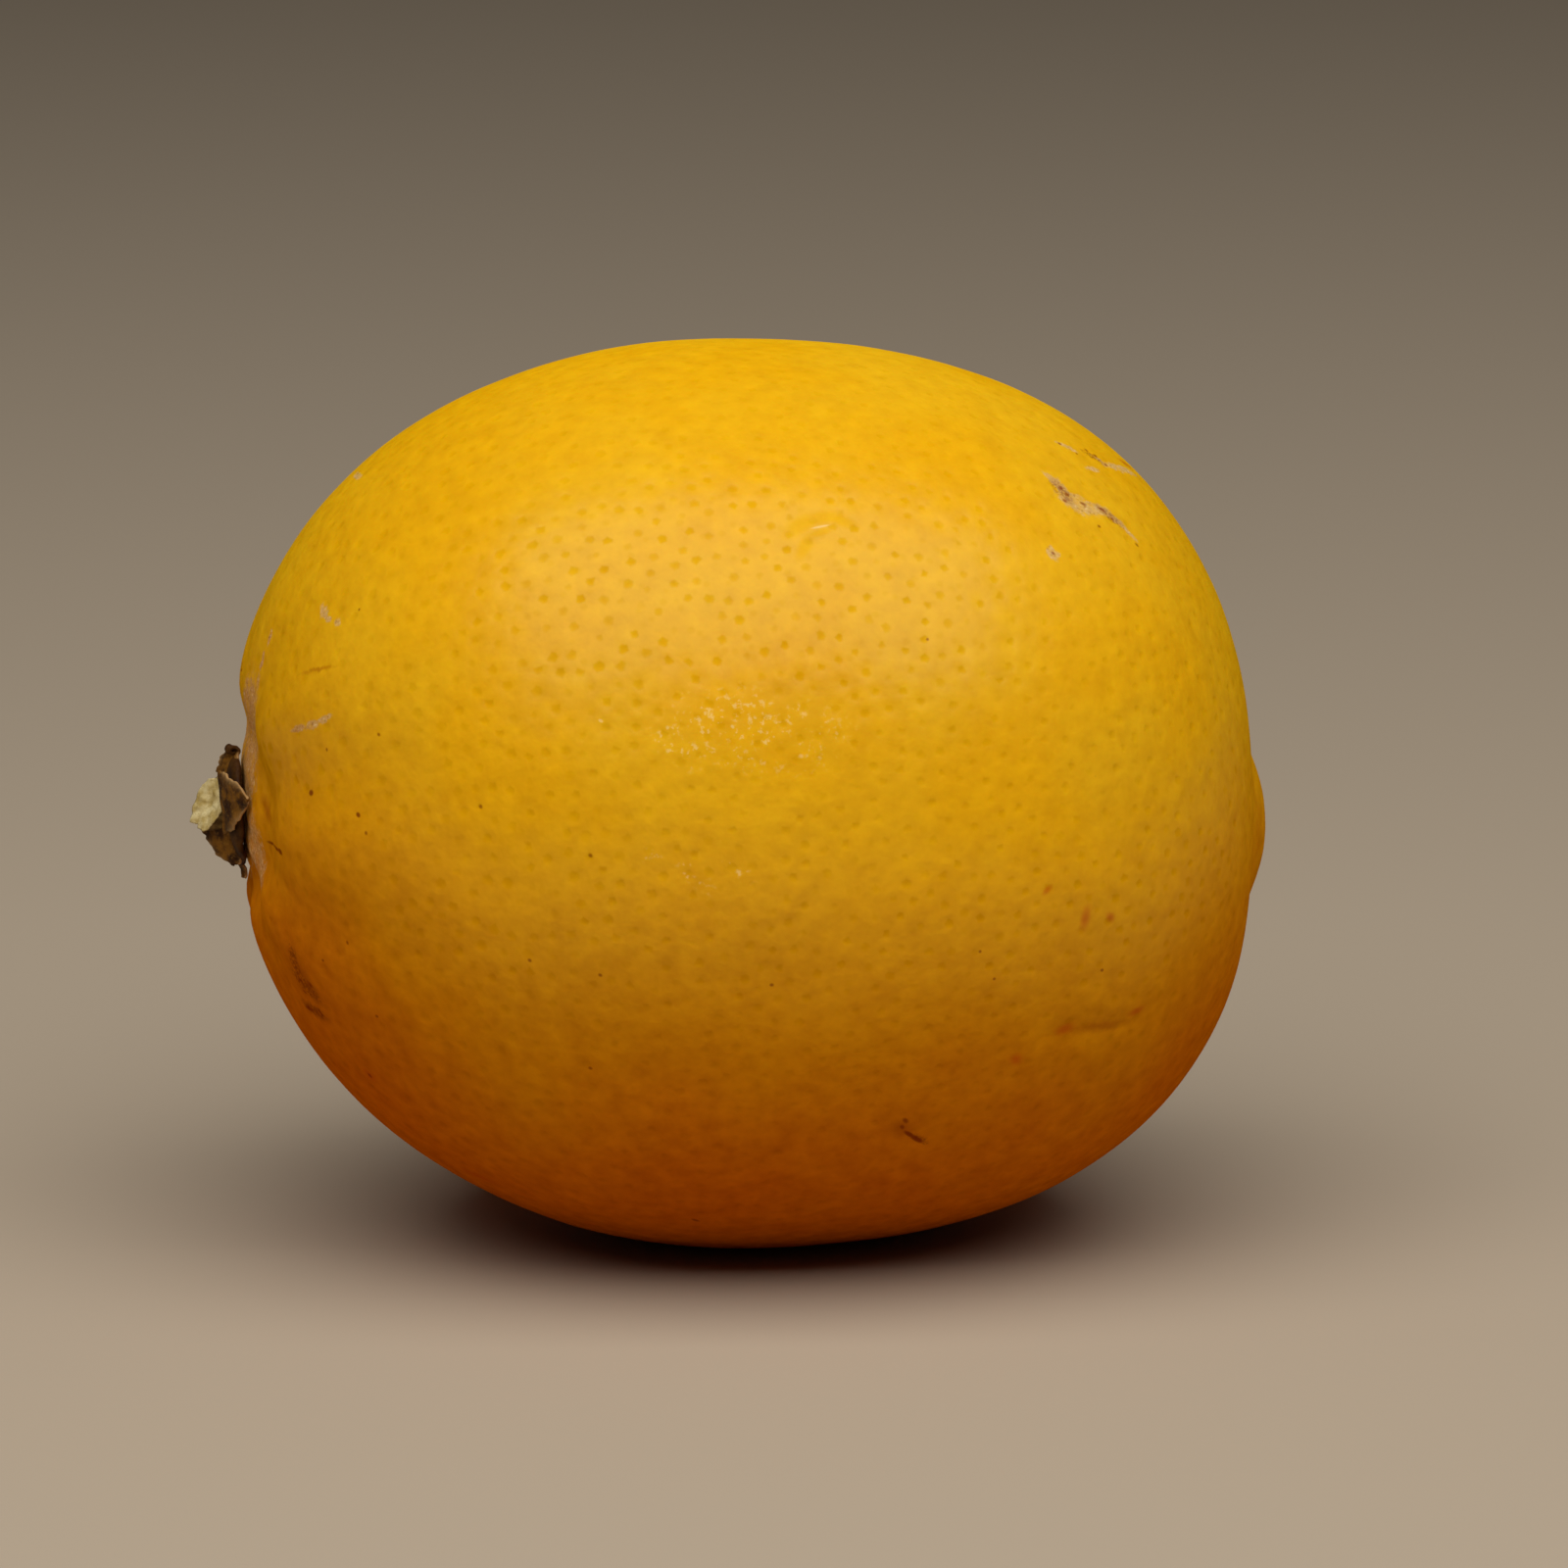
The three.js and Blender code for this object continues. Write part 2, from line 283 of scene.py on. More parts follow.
class Finish:
    """A material, and the nodes that make up its varying values."""

    def __init__(self, name, **uniform):
        self.material = bpy.data.materials.new(name)
        self.material.use_nodes = True
        self.tree = self.material.node_tree
        self.shader = self.tree.nodes["Principled BSDF"]
        for socket, value in uniform.items():
            self.shader.inputs[socket.replace("_", " ")].default_value = value
        self.place = self.node("ShaderNodeTexCoord", output="Object")

    def node(self, kind, values=(), output=0, **settings):
        made = self.tree.nodes.new(kind)
        for setting, value in settings.items():
            setattr(made, setting, value)
        pairs = values.items() if isinstance(values, dict) else enumerate(values)
        for key, value in pairs:
            self.plug(value, made.inputs[key])
        return Field(self, made.outputs[output])

    def plug(self, value, socket):
        if isinstance(value, Field):
            self.tree.links.new(value.socket, socket)
        else:
            socket.default_value = value

    def set(self, socket, value):
        self.plug(value, self.shader.inputs[socket])

    def attribute(self, name):
        return self.node("ShaderNodeAttribute", output="Fac", attribute_name=name)

    def vector(self, operation, *values, output=0):
        return self.node("ShaderNodeVectorMath", values, output, operation=operation)

    def noise(self, size, detail=3):
        """Cloudy values round 0.5 with lumps of about this size."""
        values = {
            "Vector": self.place,
            "Scale": 1 / size,
            "Detail": detail,
            "Roughness": NOISE_ROUGHNESS,
        }
        return self.node("ShaderNodeTexNoise", values)

    def cells(self, size):
        """Distance from the nearest of many scattered points, as a share of their spacing."""
        values = {"Vector": self.place, "Scale": 1 / size, "Randomness": 1}
        return self.node("ShaderNodeTexVoronoi", values, "Distance")

    def blend(self, share, first, second, kind="MIX"):
        """The first colour where the share is 0, and the second where it is 1."""
        values = {0: share, 6: first, 7: second}
        return self.node("ShaderNodeMix", values, 2, data_type="RGBA", blend_type=kind)

    def away_from(self, place, start, end, radius):
        """How far away an oval spot with these ends is: 0 in its middle and 1 on its rim."""
        along = end - start
        values = {
            "Vector": place,
            "Location": (start + end) / 2,
            "Rotation": along.to_track_quat("X", "Z").to_euler(),
            "Scale": (along.length / 2 + radius, radius, radius),
        }
        local = self.node("ShaderNodeMapping", values, vector_type="TEXTURE")
        return self.vector("LENGTH", local, output="Value")

    def away_from_all(self, place, spots, on):
        """The same for the nearest of many spots, each given by pixels of the photograph."""
        nearest = None
        for *path, radius in spots:
            ends = [seen(x, y, on) for x, y in path]
            for start, end in list(zip(ends, ends[1:])) or [(ends[0], ends[0])]:
                away = self.away_from(place, start, end, radius * PIXEL)
                nearest = away if nearest is None else nearest.smaller(away)
        return nearest

    def bump(self, height, depth):
        return self.node("ShaderNodeBump", {"Height": height, "Distance": depth, "Strength": 1.0})


def places_of(piece):
    places = np.empty(len(piece.data.vertices) * 3)
    piece.data.vertices.foreach_get("co", places)
    return places.reshape(-1, 3)


def move_to(piece, places):
    piece.data.vertices.foreach_set("co", places.ravel())
    piece.data.update()


def new_piece(name, points, edges=()):
    bpy.ops.object.select_all(action="DESELECT")
    mesh = bpy.data.meshes.new(name)
    mesh.from_pydata([tuple(point) for point in points], list(edges), [])
    piece = bpy.data.objects.new(name, mesh)
    bpy.context.collection.objects.link(piece)
    bpy.context.view_layer.objects.active = piece
    piece.select_set(True)
    return piece


def finish_piece(piece, finish, slot, *nodes):
    bpy.ops.object.select_all(action="DESELECT")
    bpy.context.view_layer.objects.active = piece
    piece.select_set(True)
    bpy.ops.object.shade_smooth()
    piece.data.materials.clear()
    piece.data.materials.append(finish.material)
    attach(piece, ROOT)
    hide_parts(*nodes)


def save_values(piece, name, values):
    attribute = piece.data.attributes.new(name, "FLOAT", "POINT")
    attribute.data.foreach_set("value", np.asarray(values, dtype=np.float32))


def gland_directions():
    """Directions of the oil glands: random, but never closer together than their spacing."""
    random = np.random.default_rng(GLAND_PLACE_SEED)
    d = unit(random.normal(size=(GLAND_TRIES, 3)))
    points = peel(d)
    tree = kdtree.KDTree(len(points))
    for index, point in enumerate(points):
        tree.insert(point, index)
    tree.balance()
    taken = np.zeros(len(points), dtype=bool)
    chosen = []
    for index, point in enumerate(points):
        if taken[index]:
            continue
        chosen.append(index)
        for _, near, _ in tree.find_range(point, GLAND_SPACING):
            taken[near] = True
    return d[chosen]


# Dents of the peel: pixels of the photograph, radius and depth in mm
DENTS = [
    ((1068, 1060), (1090, 1053), 0.9, 0.09),
    ((1090, 1053), (1122, 1050), 0.9, 0.11),
    ((1122, 1050), (1148, 1044), 0.9, 0.11),
    ((1148, 1044), (1172, 1030), 0.9, 0.09),
    ((919, 1150), (935, 1160), 0.9, 0.14),
    ((800, 545), (812, 527), 0.35, 0.05),
    ((812, 527), (858, 524), 0.35, 0.05),
    ((820, 568), (832, 550), 0.35, 0.06),
    ((832, 550), (868, 543), 0.35, 0.06),
    ((282, 640), (262, 705), 0.7, 0.08),
    ((286, 915), (300, 985), 1.2, 0.12),
    ((640, 1090), (760, 1120), 2.2, 0.1),
    ((455, 870), (520, 905), 2.0, 0.08),
]
RIDGE_BELOW = math.radians(-4)
RIDGE_WIDTH = 0.13
RIDGE_HEIGHT = 0.15 * MM
RIDGE_REACH = 24 * MM
RIDGE_ENDS = 4

# Soft unevenness of the peel: lumps of two sizes
BROAD_LUMPS = 9 * MM
BROAD_HEIGHT = 0.08 * MM
SMALL_LUMPS = 3.2 * MM
SMALL_HEIGHT = 0.02 * MM
SMALL_SHIFT = Vector((5, 5, 5))


def to_segment(points, start, end):
    along = end - start
    share = np.clip((points - start) @ along / (along @ along), 0, 1)
    return np.linalg.norm(points - start - share[:, None] * along, axis=1)


def relief(points):
    """Height of the soft unevenness of the peel, which isn't in the solids."""
    heights = np.empty(len(points))
    for index, point in enumerate(points):
        broad = noise.noise(Vector(point) / BROAD_LUMPS)
        small = noise.noise(Vector(point) / SMALL_LUMPS + SMALL_SHIFT)
        heights[index] = BROAD_HEIGHT * (broad - 1) + SMALL_HEIGHT * (small - 1)
    below = np.arctan2(points[:, 2], -points[:, 1])
    ridge = bell(below - RIDGE_BELOW, RIDGE_WIDTH) * bell(points[:, 0], RIDGE_REACH, RIDGE_ENDS)
    heights = heights + RIDGE_HEIGHT * (ridge - 1)
    for start, end, radius, depth in DENTS:
        ends = (np.array(seen(x, y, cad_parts["fruit"])) - MIDDLE for x, y in (start, end))
        heights = heights - depth * MM * bell(to_segment(points, *ends), radius * MM)
    return heights


def gland_rings(fruit):
    """For each point of the peel: its gland, and 0 in its middle, and 1 or 2 on its rings."""
    count = len(fruit.data.vertices)
    edges = np.empty(len(fruit.data.edges) * 2, dtype=int)
    fruit.data.edges.foreach_get("vertices", edges)
    edges = edges.reshape(-1, 2)
    both_ways = np.concatenate([edges, edges[:, ::-1]])
    middles = np.empty(count, dtype=int)
    fruit.data.attributes["middle"].data.foreach_get("value", middles)
    middle_points = np.flatnonzero(middles)
    gland = np.full(count, -1)
    gland[middle_points] = np.arange(len(middle_points))
    ring = np.where(middles, 0, OUTSIDE)
    for step in range(1, OUTSIDE):
        outward = both_ways[(ring[both_ways[:, 0]] == step - 1) & (ring[both_ways[:, 1]] == OUTSIDE)]
        gland[outward[:, 1]] = gland[outward[:, 0]]
        ring[outward[:, 1]] = step
    return gland, ring, middle_points


def skin_with_glands(directions):
    """A round skin of radius 1: a cap at each direction, with a ring in it, and land between."""
    skin = bmesh.new()
    for direction in directions:
        skin.verts.new(direction)
    bmesh.ops.convex_hull(skin, input=skin.verts)
    typical = (STEM_LENGTH + TIP_LENGTH + 2 * HALF_HEIGHT) / 4
    caps = bmesh.ops.bevel(
        skin, geom=skin.verts[:], offset=GLAND_RADIUS / typical, offset_type="OFFSET",
        segments=1, affect="VERTICES", clamp_overlap=True,
    )["faces"]
    land = [face for face in skin.faces if face not in set(caps)]
    bmesh.ops.inset_individual(skin, faces=caps, thickness=GLAND_INNER_RING / typical)
    middle = skin.verts.layers.int.new("middle")
    for point in bmesh.ops.poke(skin, faces=caps)["verts"]:
        point[middle] = 1
    bmesh.ops.poke(skin, faces=land)
    bmesh.ops.recalc_face_normals(skin, faces=skin.faces)
    fruit = new_piece("lemon_peel", [])
    skin.to_mesh(fruit.data)
    skin.free()
    return fruit


def gland_sizes(count):
    """How deep the glands are, in metres, and how wide, as a share of their first width."""
    random = np.random.default_rng(GLAND_SIZE_SEED)
    strong = random.random(count) < STRONG_SHARE
    depth = np.where(
        strong, random.uniform(*STRONG_DEPTH, count), random.uniform(*FAINT_DEPTH, count)
    )
    width = np.where(
        strong, random.uniform(*STRONG_WIDTH, count), random.uniform(*FAINT_WIDTH, count)
    )
    return depth, width


def fruit_mesh():
    """The peel as one skin in which each oil gland is a small bowl."""
    fruit = skin_with_glands(gland_directions())
    gland, ring, middle_points = gland_rings(fruit)
    depth, width = gland_sizes(len(middle_points))
    places = places_of(fruit)
    in_gland = ring < OUTSIDE
    own = gland[in_gland]
    middles = places[middle_points][own]
    places[in_gland] = middles + (places[in_gland] - middles) * width[own][:, None]

    d = unit(places)
    points = peel(d) + d * relief(peel(d))[:, None]
    sink = np.zeros(len(gland))
    sink[in_gland] = depth[own] * np.choose(ring[in_gland], GLAND_BOWL)
    points = points - d * sink[:, None] + MIDDLE
    points[:, 2] = (points[:, 2] + np.sqrt(points[:, 2] ** 2 + REST_EDGE**2)) / 2
    move_to(fruit, points)

    pit = np.zeros(len(gland))
    strength = (depth / STRONG_DEPTH[1]) ** GLAND_CONTRAST
    pit[in_gland] = strength[own] * np.choose(ring[in_gland], GLAND_SHADING)
    save_values(fruit, "gland", pit)
    fruit.data.attributes.remove(fruit.data.attributes["middle"])
    return fruit


YELLOW = (0.80, 0.43, 0.007, 1)
GOLD = (0.80, 0.40, 0.003, 1)
# Orange of the underside and the ends: partly the peel's ripe tint, partly painted shade
ORANGE_AND_PAINTED_SHADE = (0.61, 0.12, 0.0006, 1)
GLAND_SHADE = (0.78, 0.76, 0.3, 1)
CORK = (0.66, 0.41, 0.13, 1)
STEM_CORK_COLOUR = (0.62, 0.30, 0.10, 1)
PALE_CORK = (0.82, 0.56, 0.26, 1)
DARK_CORK = (0.34, 0.14, 0.03, 1)
RED = (0.55, 0.07, 0.004, 1)
RUSSET = (0.36, 0.07, 0.001, 1)
BROWN = (0.19, 0.032, 0.002, 1)
SPECK = (0.22, 0.026, 0.001, 1)
SCRATCH = (0.2, 0.02, 0.001, 1)
# A painted highlight: the pale colour of the glints and sparkles of the wax
PAINTED_GLINT = (1.0, 0.80, 0.38, 1)

# Marks of the visible side, and the painted highlights of the wax: pixels of the photograph, and then
# the radius, also in pixels
CORK_SPOTS = [
    ((1067, 484), (1080, 494), 5), ((1080, 494), (1090, 509), 8), ((1090, 509), (1106, 517), 13),
    ((1104, 515), (1126, 521), 8), ((1126, 521), (1142, 533), 5), ((1142, 533), (1158, 550), 3),
    ((1080, 452), (1095, 459), 4), ((1118, 467), (1130, 475), 4), ((1130, 475), (1156, 483), 6),
    ((1111, 478), (1119, 479), 4), ((1074, 564), (1075, 566), 7),
    ((300, 745), (309, 742), 3.5), ((314, 741), (325, 738), 4), ((325, 737), (337, 731), 3.5),
    ((330, 621), (331, 625), 6), ((333, 630), (336, 632), 4), ((343, 634), (346, 635), 3.5),
    ((277, 644), (274, 656), 3), ((269, 668), (266, 682), 3), ((264, 690), (263, 700), 3),
    ((363, 484), (367, 488), 4),
]
DARK_SPOTS = [
    ((1082, 497), (1083, 499), 3.5), ((1088, 504), (1089, 505), 3.5), ((1086, 511), (1087, 511), 3),
    ((1103, 513), (1107, 515), 3), ((1122, 519), (1126, 521), 3.5), ((1134, 529), (1135, 530), 2.5),
    ((1117, 465), (1118, 465), 3.5), ((1108, 459), (1109, 460), 3), ((1081, 453), (1082, 453), 2.5),
    ((1128, 474), (1129, 475), 2.5), ((1121, 537), (1122, 537), 2.2), ((1159, 555), (1161, 557), 2.2),
    ((1074, 564), (1075, 565), 2.5), ((923, 1142), (925, 1145), 3.5), ((920, 1149), (921, 1151), 3),
    ((305, 999), (308, 1001), 3.5), ((316, 1004), (318, 1006), 3.2), ((312, 1027), (320, 1031), 3.6),
    ((325, 1030), (330, 1037), 3.6), ((310, 1011), (312, 1013), 2.6), ((377, 1097), (378, 1098), 3.5),
    ((333, 765), (334, 765), 2), ((373, 850), (374, 850), 2.4), ((386, 749), (387, 750), 2.2),
    ((366, 622), (367, 622), 2),
    ((246, 683), (247, 684), 2.4), ((490, 823), (491, 823), 2.6), ((602, 873), (603, 873), 2.6),
    ((540, 980), (541, 980), 2.4), ((612, 995), (613, 995), 2.4), ((602, 1090), (603, 1090), 2.4),
    ((787, 1005), (788, 1005), 2.4), ((1124, 990), (1125, 990), 2.4), ((707, 1244), (712, 1246), 3.2),
    ((354, 962), (355, 962), 2.2), ((384, 1037), (385, 1037), 2.4), ((329, 980), (330, 980), 2),
]
RED_SPOTS = [
    ((1132, 935), (1134, 937), 6), ((1109, 928), (1106, 946), 7), ((1066, 911), (1072, 905), 4),
    ((1080, 1052), (1092, 1048), 8), ((1154, 1034), (1165, 1029), 6), ((1036, 1080), (1038, 1082), 8),
    ((375, 1095), (379, 1099), 8), ((1143, 470), (1154, 477), 7), ((470, 1192), (506, 1207), 7),
]
RUSSET_SPOTS = [
    ((1092, 1050), (1150, 1043), 7), ((916, 1150), (922, 1153), 13), ((298, 975), (322, 1018), 19),
    # The patch from (268, 815) to (276, 836) is partly russet and partly painted shade in the furrow
    # beside the calyx
    ((308, 687), (342, 680), 3), ((268, 815), (276, 836), 9), ((312, 1024), (330, 1038), 10),
]
SCRATCHES = [
    ((273, 859), (280, 863), 2.4), ((280, 863), (287, 869), 2.4), ((285, 868), (287, 870), 3.4),
    ((317, 809), (318, 809), 3.4), ((365, 831), (366, 832), 2.6),
    ((924, 1155), (932, 1160), 2.8), ((930, 1159), (940, 1165), 3.4),
]
BROWN_SPOTS = [
    ((297, 968), (305, 996), 8), ((305, 998), (320, 1014), 13), ((313, 1026), (330, 1036), 8),
    ((1078, 494), (1090, 509), 9), ((1122, 519), (1142, 534), 6), ((936, 1160), (944, 1166), 4),
    ((1108, 462), (1122, 470), 6),
]
DULL_SPOTS = [
    ((808, 542), (826, 530), 10), ((826, 530), (852, 526), 8), ((848, 528), (870, 536), 7),
    ((817, 566), (826, 549), 7), ((828, 546), (846, 541), 4),
]
# Painted highlights: glints, and patches where the wax sparkles, painted into the colour
PAINTED_GLINT_SPOTS = [
    ((829, 539), (845, 536), 1.3), ((612, 735), (614, 736), 1.5), ((747, 741), (748, 742), 1.5),
]
PAINTED_SPARKLE_SPOTS = [
    ((712, 738), (825, 752), 38), ((686, 752), (700, 766), 20), ((655, 872), (668, 876), 7),
    ((698, 884), (722, 906), 8), ((733, 866), (762, 894), 8),
]
# Cork round the calyx: front and up of both ends of each patch, and its radius, in mm
STEM_CORK = [
    ((4.0, 7.6), (3.4, 4.4), 2.0), ((3.2, 4.6), (3.4, 1.6), 1.9), ((4.6, -1.6), (4.8, -3.8), 1.9),
    ((-2.5, 4.5), (-5.0, 1.5), 1.6), ((-4.5, -2.5), (-1.0, -5.0), 1.7), ((1.0, 5.2), (0.2, 5.6), 1.3),
]
CORK_RING = 4.1 * MM
TIP_SCAR = 1.5 * MM

# Soft rims of the marks: where each begins and where it is full, as shares of its radius
RUSSET_RIM = (1.3, 0.2)
SCAR_RIM = (1.2, 0.5)
RED_RIM = (1.2, 0.1)
BROWN_RIM = (1.4, 0.5)
CORK_RIM = (1.25, 0.75)
SPECK_RIM = (1.1, 0.3)
SCRATCH_RIM = (1.25, 0.5)
GLINT_RIM = (1.3, 0.6)
SPARKLING_RIM = (1.35, 0.5)
DULL_RIM = (1.4, 0.4)
CORK_RAGGEDNESS = 1.2
STRAY = 0.55 * MM

# How strongly the marks cover the peel
RUSSET_COVER = 0.55
RED_COVER = 0.6
BROWN_COVER = 0.65
SPECK_COVER = 0.7
SCRATCH_COVER = 0.85
GLINT_COVER = 0.34
CORK_COVER = (0.45, 0.45)

# Where the peel turns orange, partly its own ripe tint and partly painted shade darkening the
# underside and the ends: shares of the fruit's height, and places along it
ORANGE_SHADE_FROM = 0.62
ORANGE_SHADE_TO = 0.05
CLOUDY_SHIFT = 0.2
END_SHIFT = 0.17
STEM_SIDE = (-14 * MM, -34 * MM)
TIP_SIDE = (22 * MM, 37 * MM)
TIP_SIDE_SHARE = 0.6
STEM_CORK_ZONE = (-28 * MM, -33 * MM)

# Lumps and specks of the peel, by their size
CLOUDS = 14 * MM
GRAIN = 1.6 * MM
PEBBLES = 1.4 * MM
FINE = 0.5 * MM
PATCHES = 0.9 * MM
FLECKS = 0.22 * MM
# Size of the flecks of the painted sparkle
SPARKS = 0.4 * MM
FAINT_GLANDS = 1.15 * MM
FAINT_GLAND_RIM = (0.34, 0.12)
FAINT_GLAND_COVER = 0.3
GLAND_COVER = 0.42
SPECK_SPACING = 6 * MM
SPECKS_TO_SPACING = 40
MOTTLE = (0.32, 0.35)
MOTTLE_COLOUR = (0.85, 1.25, 1.5)
PEBBLE_HEIGHT = 0.1 * MM
FINE_SHARE = 0.12

# Where a pattern of the peel begins and where it is full, as values of its noise
GOLD_CLOUDS = (0.35, 0.65)
CORK_PATCHES = (0.34, 0.56)
DARK_FLECKS = (0.52, 0.75)
PALE_FLECKS = (0.46, 0.3)
BROWN_FLECKS = (0.62, 0.42)
SPARK_FLECKS = (0.54, 0.68)
SPARK_GRAIN = (0.46, 0.58)

# Roughness of the smooth peel, and what the glands and the cork add to it
PEEL_ROUGHNESS = 0.42
GLAND_ROUGHNESS = 0.2
CORK_ROUGHNESS = 0.3

# Wax on the peel, less in the glands, on the dull patches, at the rim and on the orange
WAX = 0.5
DRY_DOTS = (0.0, 0.9)
DRY_LOSS = 0.48
DULL_SHARE = 0.75
WAX_RIM = (0.85, 0.4)
WAX_ON_ORANGE = (0.1, 0.6)
ORANGE_LOSS = 0.95


def peel_colour(finish, height, along, clouds):
    """Yellow above, and orange below and at both ends, partly the peel's ripe tint and partly painted
    shade darkening the underside and the ends; and how far the orange has come.
    """
    low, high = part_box("fruit")
    tall = high[2] - low[2]
    ends = along.step(*STEM_SIDE) + TIP_SIDE_SHARE * along.step(*TIP_SIDE)
    orange_shift = (clouds - 0.5) * (CLOUDY_SHIFT * tall) - ends * (END_SHIFT * tall)
    # Partly painted shade: the orange darkens the underside and both ends
    orange_and_shade = (height + orange_shift).step(ORANGE_SHADE_FROM * tall, ORANGE_SHADE_TO * tall)
    colour = finish.blend(clouds.step(*GOLD_CLOUDS), YELLOW, GOLD)
    return finish.blend(orange_and_shade, colour, ORANGE_AND_PAINTED_SHADE), orange_and_shade


def mottled(finish, colour, grain, orange_and_shade):
    """The colour made lighter and darker in grains, more so on the orange."""
    on_yellow, on_orange = MOTTLE
    mottle = (grain - 0.5) * (on_yellow + on_orange * orange_and_shade)
    red, green, blue = MOTTLE_COLOUR
    shade = finish.node(
        "ShaderNodeCombineColor", [1 + red * mottle, 1 + green * mottle, 1 + blue * mottle]
    )
    return finish.blend(1.0, colour, shade, kind="MULTIPLY")


def strayed(finish):
    """Object coordinates pushed about a little, which gives a mark a ragged outline."""
    values = {"Vector": finish.place, "Scale": 1 / STRAY, "Detail": 3.0}
    wander = finish.node("ShaderNodeTexNoise", values, output="Color")
    shift = {0: wander, 1: (STRAY,) * 3, 2: (-STRAY / 2,) * 3}
    stray = finish.node("ShaderNodeVectorMath", shift, operation="MULTIPLY_ADD")
    return finish.vector("ADD", finish.place, stray)


def cork_marks(finish, fruit, ragged, fine):
    """Scuffs of cork, and the cork ring with its patches round the calyx."""
    stem_end = Vector(MIDDLE + CALYX_MIDDLE)
    cork = finish.away_from_all(ragged, CORK_SPOTS, fruit)
    cork = cork.smaller(finish.away_from(ragged, stem_end, stem_end, CORK_RING))
    for *ends, radius in STEM_CORK:
        ends = np.array(ends) * MM
        start, end = (Vector(end) for end in over_peel(ends[:, 0], ends[:, 1], np.zeros(2)))
        cork = cork.smaller(finish.away_from(ragged, start, end, radius * MM))
    return (cork + (fine - 0.5) * CORK_RAGGEDNESS).step(*CORK_RIM)


def marked(finish, fruit, colour, ragged, fine, stemward):
    """The colour with all dark, red and brown marks and the cork on it, and where the cork is."""
    tip = Vector(MIDDLE + peel(NIPPLE_AT[None])[0])
    russet = finish.away_from_all(ragged, RUSSET_SPOTS, fruit).step(*RUSSET_RIM)
    russet = russet.larger(finish.away_from(ragged, tip, tip, TIP_SCAR).step(*SCAR_RIM))
    reddish = finish.away_from_all(finish.place, RED_SPOTS, fruit).step(*RED_RIM)
    brown = finish.away_from_all(ragged, BROWN_SPOTS, fruit).step(*BROWN_RIM)
    cork = cork_marks(finish, fruit, ragged, fine)
    patchy = finish.noise(PATCHES, detail=4).step(*CORK_PATCHES)
    pinpoints = finish.cells(SPECK_SPACING) * SPECKS_TO_SPACING
    speck = finish.away_from_all(finish.place, DARK_SPOTS, fruit).smaller(pinpoints)
    speck = speck.step(*SPECK_RIM)

    colour = finish.blend(russet * RUSSET_COVER, colour, RUSSET)
    colour = finish.blend(reddish * RED_COVER, colour, RED)
    flecks = finish.noise(FLECKS)
    cork_colour = finish.blend(stemward, CORK, STEM_CORK_COLOUR)
    cork_colour = finish.blend(flecks.step(*DARK_FLECKS), cork_colour, DARK_CORK)
    cork_colour = finish.blend(flecks.step(*PALE_FLECKS), cork_colour, PALE_CORK)
    thin_cork, thick_cork = CORK_COVER
    colour = finish.blend(cork * (thin_cork + thick_cork * patchy), colour, cork_colour)
    colour = finish.blend(brown * flecks.step(*BROWN_FLECKS) * BROWN_COVER, colour, BROWN)
    colour = finish.blend(speck * SPECK_COVER, colour, SPECK)
    scratch = finish.away_from_all(finish.place, SCRATCHES, fruit).step(*SCRATCH_RIM)
    colour = finish.blend(scratch * SCRATCH_COVER, colour, SCRATCH)
    return colour, cork


def peel_finish(fruit):
    finish = Finish(
        "lemon_peel",
        Roughness=0.5,
        Specular_IOR_Level=0.0,
        Subsurface_Weight=0.12,
        Subsurface_Radius=(1.0, 0.4, 0.05),
        Subsurface_Scale=1.5 * MM,
        Coat_Roughness=0.3,
        Coat_IOR=1.4,
    )
    height = finish.node("ShaderNodeSeparateXYZ", [finish.place], output="Z")
    along = finish.node("ShaderNodeSeparateXYZ", [finish.place], output="X")
    stemward = along.step(*STEM_CORK_ZONE)
    clouds = finish.noise(CLOUDS, detail=2)
    grain = finish.noise(GRAIN, detail=3)
    colour, orange_and_shade = peel_colour(finish, height, along, clouds)

    gland = finish.attribute("gland")
    faint = finish.cells(FAINT_GLANDS).step(*FAINT_GLAND_RIM) * FAINT_GLAND_COVER
    dull = finish.away_from_all(finish.place, DULL_SPOTS, fruit).step(*DULL_RIM)
    dots = gland.larger(faint)
    colour = finish.blend(dots * GLAND_COVER, colour, GLAND_SHADE, kind="MULTIPLY")
    colour = mottled(finish, colour, grain, orange_and_shade)
    ragged = strayed(finish)
    fine = finish.noise(FINE, detail=2)
    colour, cork = marked(finish, fruit, colour, ragged, fine, stemward)

    # Painted highlights: pale glints and sparkling flecks painted into the colour
    painted_glint = finish.away_from_all(finish.place, PAINTED_GLINT_SPOTS, fruit).step(*GLINT_RIM)
    painted_sparkle = finish.away_from_all(finish.place, PAINTED_SPARKLE_SPOTS, fruit).step(*SPARKLING_RIM)
    painted_sparks = painted_sparkle * finish.noise(SPARKS).step(*SPARK_FLECKS) * grain.step(*SPARK_GRAIN)
    colour = finish.blend(painted_glint.larger(painted_sparks) * GLINT_COVER, colour, PAINTED_GLINT)

    facing = finish.node("ShaderNodeLayerWeight", {"Blend": 0.5}, output="Facing")
    dry = dots.step(*DRY_DOTS).larger(dull * DULL_SHARE)
    wax = (WAX - DRY_LOSS * dry) * facing.step(*WAX_RIM) * (1 - cork)
    wax = wax * (1 - ORANGE_LOSS * orange_and_shade.step(*WAX_ON_ORANGE))
    finish.set("Base Color", colour)
    finish.set("Coat Weight", wax)
    finish.set("Roughness", PEEL_ROUGHNESS + GLAND_ROUGHNESS * dots + CORK_ROUGHNESS * cork)
    pebbles = finish.noise(PEBBLES, detail=2)
    finish.set("Normal", finish.bump(pebbles + FINE_SHARE * fine, PEBBLE_HEIGHT))
    return finish


